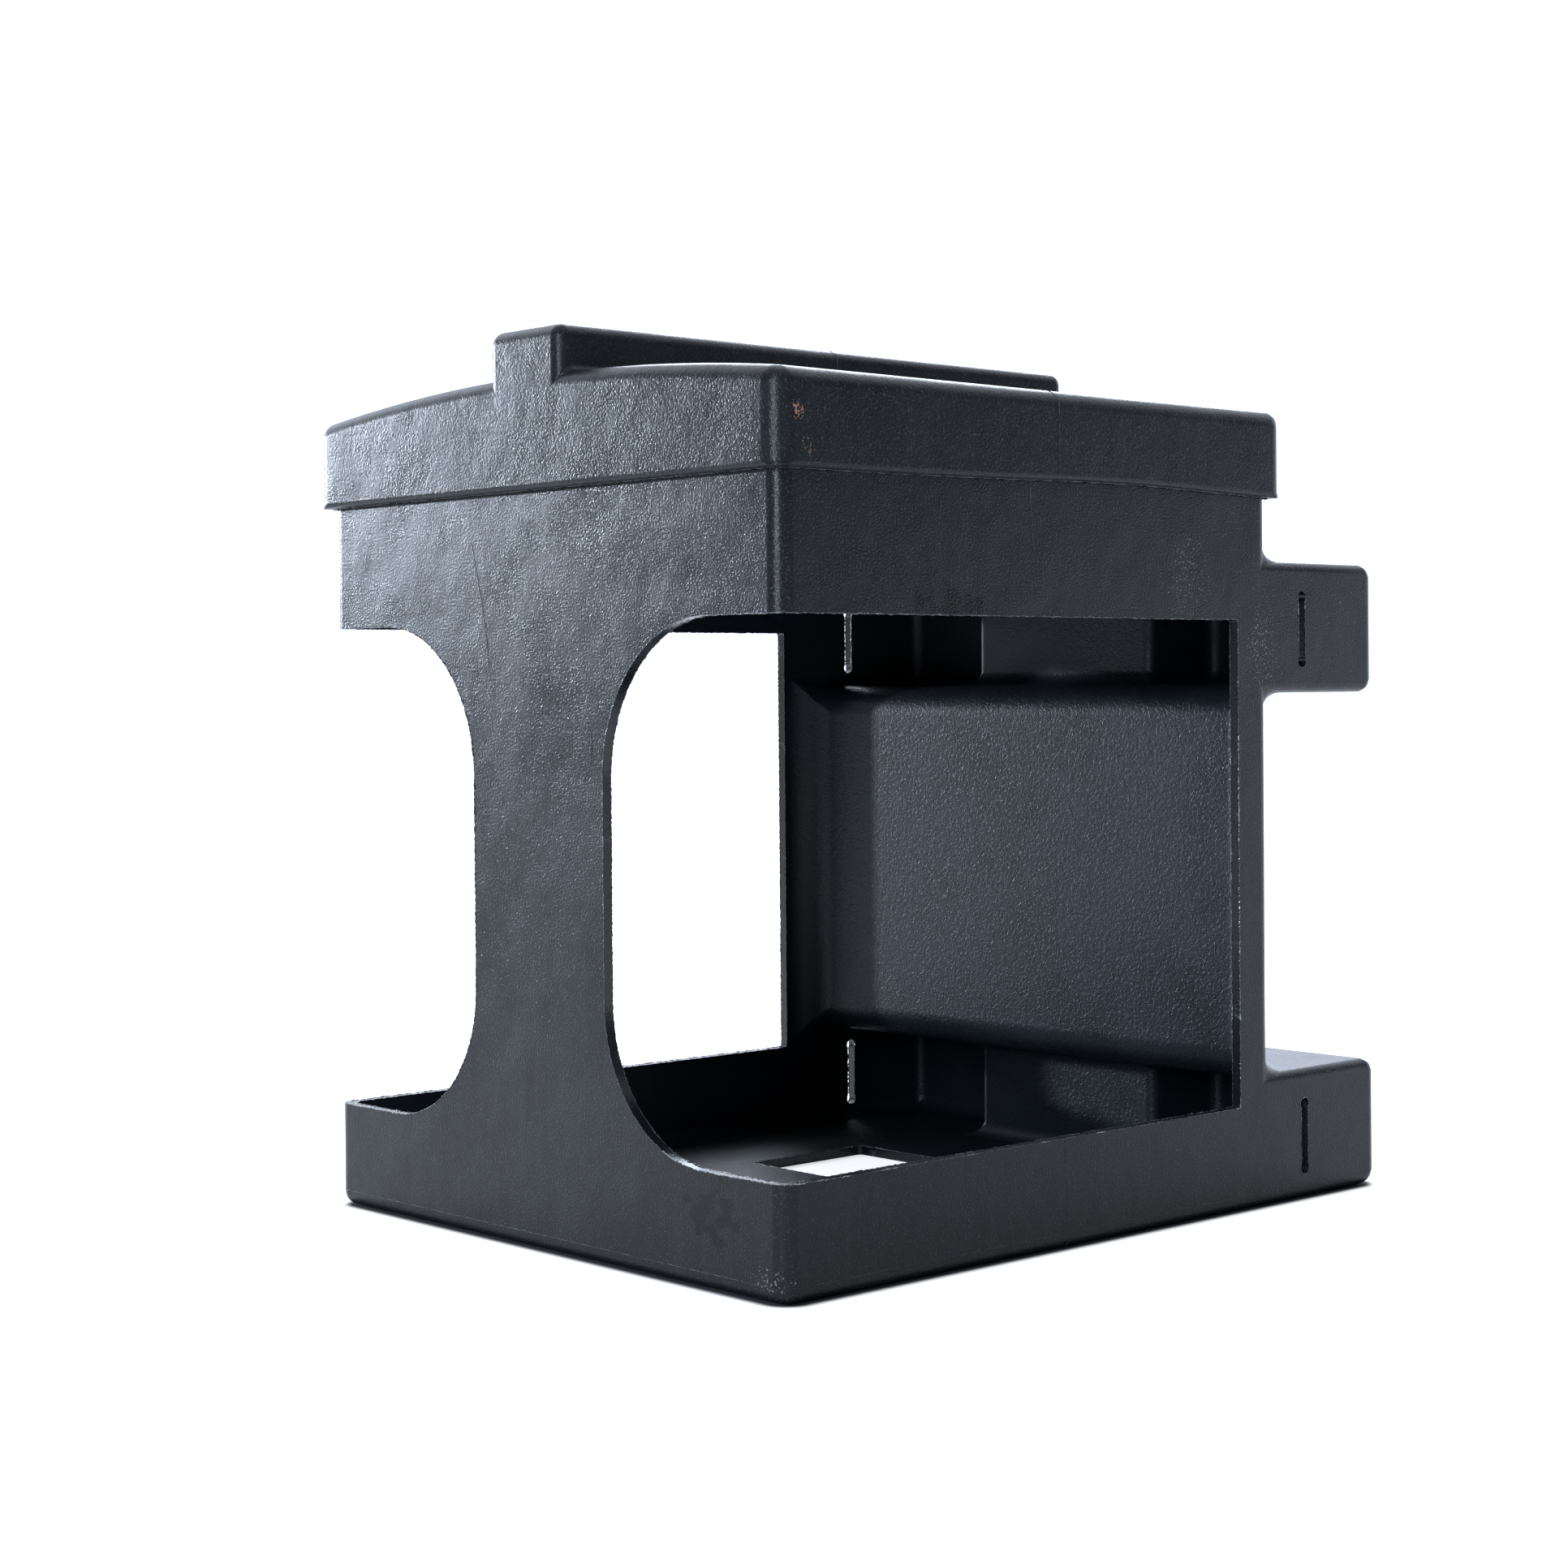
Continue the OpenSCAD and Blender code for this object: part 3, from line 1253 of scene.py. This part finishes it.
@dataclass
class LidForm:
    """A closed form in the shape of the lid: a skirt, an arched roof and a ridge bar along its middle."""

    name: str
    half_width: float
    front: float
    back: float
    bottom: float
    apex: float
    roof_r: float
    ridge_half: float
    ridge_top: float
    corner_r: float
    eave_r: float
    gable_r: float
    ridge_r: float
    web_r: float
    skirt_edge_r: float

    def roof_z(self, x: float) -> float:
        """The height of the roof at a distance x from its middle."""
        return self.apex - self.roof_r + math.sqrt(self.roof_r**2 - x**2)

    def build(self) -> Object:
        """Models the form.

        Returns:
            The form as a closed mesh.
        """
        form = add_box(
            self.name,
            Vector((-self.half_width, self.front, self.bottom)),
            Vector((self.half_width, self.back, self.apex)),
        )
        strips = 8
        reach = self.half_width - self.ridge_half
        with editing(form, "FACE"):
            for side in Half:
                for i in range(strips):
                    x = side.value * (self.ridge_half + reach * i / strips)
                    slice_all(Vector((x, 0, 0)), Vector((1, 0, 0)))
            mesh = bmesh.from_edit_mesh(form.data)
            for vertex in mesh.verts:
                if near(vertex.co.z, self.apex):
                    vertex.co.z = self.roof_z(vertex.co.x)
            bmesh.update_edit_mesh(form.data)
            push_out(
                form,
                lambda face: face.normal.z > 0.5 and abs(face.calc_center_median().x) < self.ridge_half,
                Vector((0, 0, self.ridge_top - self.roof_z(self.ridge_half))),
            )
        round_edges(form, self.radius_of, segments=8)
        return form

    def radius_of(self, middle: Vector, run: Axis, convex: bool) -> float:
        """The radius of one edge of the form.

        Args:
            middle: The edge's middle.
            run: The direction that it runs in.
            convex: Whether the form bulges there.

        Returns:
            The radius.
        """
        if near(middle.z, self.bottom):
            return self.skirt_edge_r
        if not convex:
            return self.web_r
        if run is Axis.Z:
            return self.ridge_r if near(abs(middle.x), self.ridge_half) else self.corner_r
        if near(middle.z, self.ridge_top):
            return self.ridge_r
        return self.eave_r if run is Axis.Y else self.gable_r


@dataclass
class Lid:
    """The loose lid that drops over the shell's top."""

    palette: Palette
    wall: float = 4.5 * MM
    apex_z: float = 482 * MM
    eave_z: float = 469 * MM
    ridge_w: float = 65 * MM
    bow_height: float = 2.6 * MM
    bow_reach: float = 30 * MM
    bow_skew: float = 1.6
    lip_height: float = 1 * MM
    open_below: float = 10 * MM
    parting_y: float = -45 * MM

    def __post_init__(self) -> None:
        """Takes the lid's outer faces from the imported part."""
        self.low, self.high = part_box("lid")
        rise = self.apex_z - self.eave_z
        self.roof_r = (self.high.x**2 + rise**2) / (2 * rise)

    def form(self, inset: float, name: str) -> Object:
        """Models the lid's outer skin, or the space inside it.

        Args:
            inset: How far inside the outer faces it lies.
            name: The new object's name.

        Returns:
            The form as a closed mesh.
        """
        outer = inset == 0
        return LidForm(
            name=name,
            half_width=self.high.x - inset,
            front=self.low.y + inset,
            back=self.high.y - inset,
            bottom=self.low.z if outer else self.low.z - self.open_below,
            apex=self.apex_z - inset,
            roof_r=self.roof_r - inset,
            ridge_half=self.ridge_w / 2 - inset,
            ridge_top=self.high.z - inset,
            corner_r=13 * MM if outer else 10 * MM,
            eave_r=9 * MM if outer else 7 * MM,
            gable_r=9 * MM if outer else 7 * MM,
            ridge_r=8 * MM if outer else 5 * MM,
            web_r=5 * MM if outer else 9 * MM,
            skirt_edge_r=3.2 * MM if outer else 0,
        ).build()

    def bow(self, cap: Object) -> None:
        """Lets the skirt's lower edge rise and fall a little, as a thin cooled moulding does.

        Args:
            cap: The lid, with a square lower edge.
        """
        steps = 16
        depth = self.high.y - self.low.y
        with editing(cap, "VERT"):
            for i in range(1, steps):
                slice_all(Vector((0, self.low.y + i / steps * depth, 0)), Vector((0, 1, 0)))
            mesh = bmesh.from_edit_mesh(cap.data)
            for vertex in mesh.verts:
                along = (vertex.co.y - self.low.y) / depth
                rise = self.bow_height * math.sin(math.pi * along**self.bow_skew) ** 2
                fade = max(0.0, 1 - (vertex.co.z - self.low.z) / self.bow_reach)
                vertex.co.z += rise * fade
            bmesh.update_edit_mesh(cap.data)

    def flash(self, cap: Object) -> list[Object]:
        """Models the trimmed lip inside the skirt's lower edge and the mould's parting line.

        Args:
            cap: The lid.

        Returns:
            The lip and the line.
        """
        inside_slot = cap.data.materials.find(self.palette.inside.name)
        skin_slot = cap.data.materials.find(self.palette.lid_skin.name)
        lip_top = self.low.z + self.bow_height + self.lip_height

        def is_lip(edge: BMEdge) -> bool:
            """Whether an edge is where the skirt's lower edge meets its inside."""
            inner = [face.material_index == inside_slot for face in edge.link_faces]
            return any(inner) and not all(inner) and all(v.co.z < lip_top for v in edge.verts)

        lip = bead_along(
            cap, "lid_trimmed_lip", is_lip, thickness=0.5 * MM, wander=0.12 * MM, step=4 * MM, seed=7
        )
        # The trim's pale patches are partly painted highlights along the lip.
        give_finish(lip, self.palette.trim)
        parting = bead_along(
            cap,
            "lid_parting_line",
            lambda edge: all(face.material_index == skin_slot for face in edge.link_faces)
            and all(near(v.co.y, self.parting_y) and v.co.z > lip_top for v in edge.verts),
            thickness=0.28 * MM,
            wander=0.05 * MM,
            step=4 * MM,
            seed=8,
            cut=(Vector((0, self.parting_y, 0)), Vector((0, 1, 0))),
        )
        give_finish(parting, self.palette.seam)
        return [lip, parting]

    def build(self) -> list[Object]:
        """Models the lid with its flash.

        Returns:
            The lid's pieces.
        """
        cap = self.form(0, "lid_moulding")
        give_finish(cap, self.palette.lid_skin)
        hollow = self.form(self.wall, "lid_hollow")
        give_finish(hollow, self.palette.inside)
        combine(cap, hollow, "DIFFERENCE")
        self.bow(cap)
        pieces = [cap, *self.flash(cap)]
        smooth_faces(cap)
        for piece in pieces:
            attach(piece, "lid")
        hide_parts("lid")
        return pieces


# --------------------------------------------------------------------------- the studio


@dataclass
class Studio:
    """A white floor, a white room, a low hard lamp from the left and soft light round the feeder."""

    camera_place: Vector = Vector((1215.3, -1168.1, 309.5)) * MM
    camera_turn: float = math.radians(47.65)
    camera_dip: float = math.radians(0.648)
    camera_roll: float = math.radians(0.458)
    lens_mm: float = 63.45
    frame_shift: float = -0.0416
    lamp_way: Vector = Vector((0.926, 0.352, -0.137))
    lamp_strength: float = 2.1
    side_way: Vector = Vector((0.991, 0.08, -0.1))
    side_strength: float = 0.8
    lamp_tint: str = "#dce8f8"
    ceiling_strength: float = 1.3
    ceiling_spread: float = math.radians(100)
    floor_glow: float = 0.66
    floor_size: float = 30
    floor_drop: float = 0.2 * MM
    foot_inset: float = 2 * MM
    panel_aim: Vector = Vector((0, 0, 0.25))
    lamp_spread: float = math.radians(3.0)
    room_dim: float = 0.12
    room_white: float = 1.6
    room_dim_to: float = 0.0
    room_white_from: float = 0.75

    def add_camera(self) -> None:
        """Stands the camera at the right front corner, level with the feeder's upper half."""
        data = bpy.data.cameras.new("camera")
        data.lens = self.lens_mm
        data.sensor_width = 36
        data.shift_y = self.frame_shift
        data.clip_end = 50
        camera = bpy.data.objects.new("camera", data)
        bpy.context.scene.collection.objects.link(camera)
        turn = Matrix.Rotation(self.camera_turn, 4, "Z")
        tilt = Matrix.Rotation(math.pi / 2 - self.camera_dip, 4, "X")
        roll = Matrix.Rotation(-self.camera_roll, 4, "Z")
        camera.matrix_world = Matrix.Translation(self.camera_place) @ turn @ tilt @ roll
        bpy.context.scene.camera = camera

    def add_floor(self) -> None:
        """Lays the white paper that the feeder stands on."""
        low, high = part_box("body_shell")
        middle_y = (high.y + low.y) / 2
        inset = StagePaper.corner_r + self.foot_inset
        # The foot's rounded rectangle, round which the paper's contact shadow is painted.
        foot = Vector((high.x - inset, (high.y - low.y) / 2 - inset, 0))
        bpy.ops.object.select_all(action="DESELECT")
        bpy.ops.mesh.primitive_plane_add(size=self.floor_size, location=(0, middle_y, -self.floor_drop))
        floor = bpy.context.object
        floor.name = "stage_floor"
        paper = StagePaper(
            "paper_over_light_table",
            "#f4f5f6",
            glow=self.floor_glow,
            foot=foot,
            groove_half=Shell.groove_w / 2,
            groove_bed=high.y - Shell.groove_d - middle_y,
        )
        give_finish(floor, paper.build())

    def add_lamps(self) -> None:
        """Hangs the low lamp on the left and the soft panels."""
        self.add_far_lamp("low_lamp", self.lamp_way, self.lamp_strength, self.lamp_spread, self.lamp_tint)
        self.add_far_lamp("side_lamp", self.side_way, self.side_strength, self.lamp_spread, self.lamp_tint)
        self.add_far_lamp("ceiling", -UPRIGHT, self.ceiling_strength, self.ceiling_spread, "#ffffff")
        self.add_panel("front_panel", Vector((1.03, -2.07, 0.85)), 0.3, 1.0, 30)
        self.add_panel("left_panel", Vector((-1.7, -0.35, 1.3)), 1.2, 1.0, 7)
        self.add_panel("rear_panel", Vector((1.7, 2.4, 0.3)), 1.2, 0.7, 3)
        self.add_panel("back_panel", Vector((-1.6, 1.7, 1.6)), 1.5, 1.0, 40)

    def add_far_lamp(self, name: str, way: Vector, strength: float, spread: float, tint: str) -> None:
        """Adds one light that is far away, so that its rays run alongside each other.

        Args:
            name: The light's name.
            way: The direction that its light travels in.
            strength: Its strength in watts per square metre.
            spread: The angle that it takes up in the sky.
            tint: Its colour.
        """
        data = bpy.data.lights.new(name, "SUN")
        data.energy = strength
        data.angle = spread
        data.color = linear(tint)[:3]
        lamp = bpy.data.objects.new(name, data)
        lamp.rotation_euler = way.to_track_quat("-Z", "Y").to_euler()
        bpy.context.scene.collection.objects.link(lamp)

    def add_panel(self, name: str, place: Vector, wide: float, tall: float, power: float) -> None:
        """Adds one soft rectangular light that faces the feeder.

        Args:
            name: The light's name.
            place: Where it hangs.
            wide: Its width.
            tall: Its height.
            power: Its power in watts.
        """
        data = bpy.data.lights.new(name, "AREA")
        data.shape = "RECTANGLE"
        data.size = wide
        data.size_y = tall
        data.energy = power
        data.color = linear(self.lamp_tint)[:3]
        panel = bpy.data.objects.new(name, data)
        panel.location = place
        panel.rotation_euler = (self.panel_aim - place).to_track_quat("-Z", "Y").to_euler()
        bpy.context.scene.collection.objects.link(panel)

    def add_room(self) -> None:
        """Makes the room: a white backdrop behind the feeder and a dim room in front of it."""
        world = bpy.data.worlds.new("white_room")
        world.use_nodes = True
        tree = world.node_tree
        tree.nodes.clear()
        way = add_node(tree, "TexCoord").outputs["Generated"]
        behind = Vector((-math.sin(self.camera_turn), math.cos(self.camera_turn), 0))
        along = add_node(tree, "VectorMath", {"operation": "DOT_PRODUCT"}, {0: way, 1: behind})
        lit = add_node(
            tree,
            "MapRange",
            {"interpolation_type": "SMOOTHSTEP"},
            {
                "Value": along.outputs["Value"],
                "From Min": self.room_dim_to,
                "From Max": self.room_white_from,
                "To Min": self.room_dim,
                "To Max": self.room_white,
            },
        )
        # Whatever the direction, the room itself is seen as plain white.
        seen = add_node(tree, "LightPath").outputs["Is Camera Ray"]
        plain = add_node(tree, "Math", {"operation": "MULTIPLY"}, {0: seen, 1: self.room_white}).outputs[0]
        level = add_node(tree, "Math", {"operation": "MAXIMUM"}, {0: lit.outputs["Result"], 1: plain})
        sky = add_node(
            tree, "Background", sockets={"Color": linear("#e4eeff"), "Strength": level.outputs[0]}
        )
        add_node(tree, "OutputWorld", sockets={"Surface": sky.outputs["Background"]})
        bpy.context.scene.world = world

    def build(self) -> None:
        """Sets up the whole studio."""
        bpy.context.scene.view_settings.view_transform = "Standard"
        self.add_camera()
        self.add_floor()
        self.add_lamps()
        self.add_room()


def make_palette() -> Palette:
    """Makes the feeder's materials.

    Returns:
        The palette of them all.
    """
    dust, damp, dirt = ("#8b8c8e", 0.8), ("#08090a", 0.14), ("#8f6f5a", 0.8)
    # Dust on the right side and at the front corner's foot, and water that stays along the edges.
    shell_marks = (
        Mark((200, 72, 372), (20, 40, 48), *dust, 1.2, 0.9, 0.20),
        Mark((200, 140, 330), (20, 30, 70), *dust, 1.2, 0.9, 0.21),
        Mark((200, 215, 350), (20, 40, 50), *dust, 1.2, 0.7, 0.14),
        Mark((186, -245, 12), (30, 24, 16), *dust, 1.4, 0.8, 0.23),
        Mark((146, -245, 40), (50, 10, 28), *damp, 9.0, 0.9, 0.42),
        Mark((200, -120, 354), (10, 60, 18), *damp, 9.0, 0.9, 0.42),
        Mark((200, 205, 322), (10, 45, 16), *damp, 9.0, 0.8, 0.40),
        Mark((200, 220, 60), (10, 30, 16), *damp, 8.0, 0.7, 0.36),
    )
    # Dried dirt at the skirt's front corner, with thin dust along its right side.
    lid_marks = (
        Mark((207, -238, 447), (10, 9, 9), *dirt, 1.5, 0.95, 0.36),
        Mark((207, -232, 430), (10, 12, 12), *dirt, 1.2, 0.9, 0.24),
        Mark((207, -20, 440), (20, 160, 30), *dust, 1.2, 0.4, 0.12),
    )
    return Palette(
        skin=MouldedSkin("polyethylene_rotomoulded_skin", "#101215", "#191c1f", marks=shell_marks).build(),
        lid_skin=MouldedSkin(
            "polyethylene_rotomoulded_lid_skin", "#15171a", "#1f2225", shine=0.2, marks=lid_marks
        ).build(),
        inside=MouldedInside("polyethylene_rotomoulded_inside", "#11161b", "#19202a").build(),
        tray_floor=MouldedInside(
            "polyethylene_licked_tray_floor", "#0e1216", "#161b21", gloss=0.42, dullest=0.6, shine=0.12
        ).build(),
        # Pale patches on the cut edges, the burrs and the lid's lip are partly stressed plastic and partly
        # painted highlights.
        trim=RouterTrim("polyethylene_router_trimmed", "#15181b", "#7b8186", 0.88).build(),
        burr=RouterTrim("polyethylene_shaved_burr", "#3b4045", "#c9ced2", 0.80).build(),
        seam=MouldedInside("polyethylene_mould_flash", "#24282b", "#34383c").build(),
    )


def main() -> None:
    """Builds the studio, the shell and the lid in order, and reports each piece."""
    logging.basicConfig(level=logging.INFO, format="%(message)s")
    Studio().build()
    palette = make_palette()
    for part in (Shell(palette), Lid(palette)):
        for piece in part.build():
            log.info("%s: %d faces", piece.name, len(piece.data.polygons))


if __name__ == "__main__":
    main()
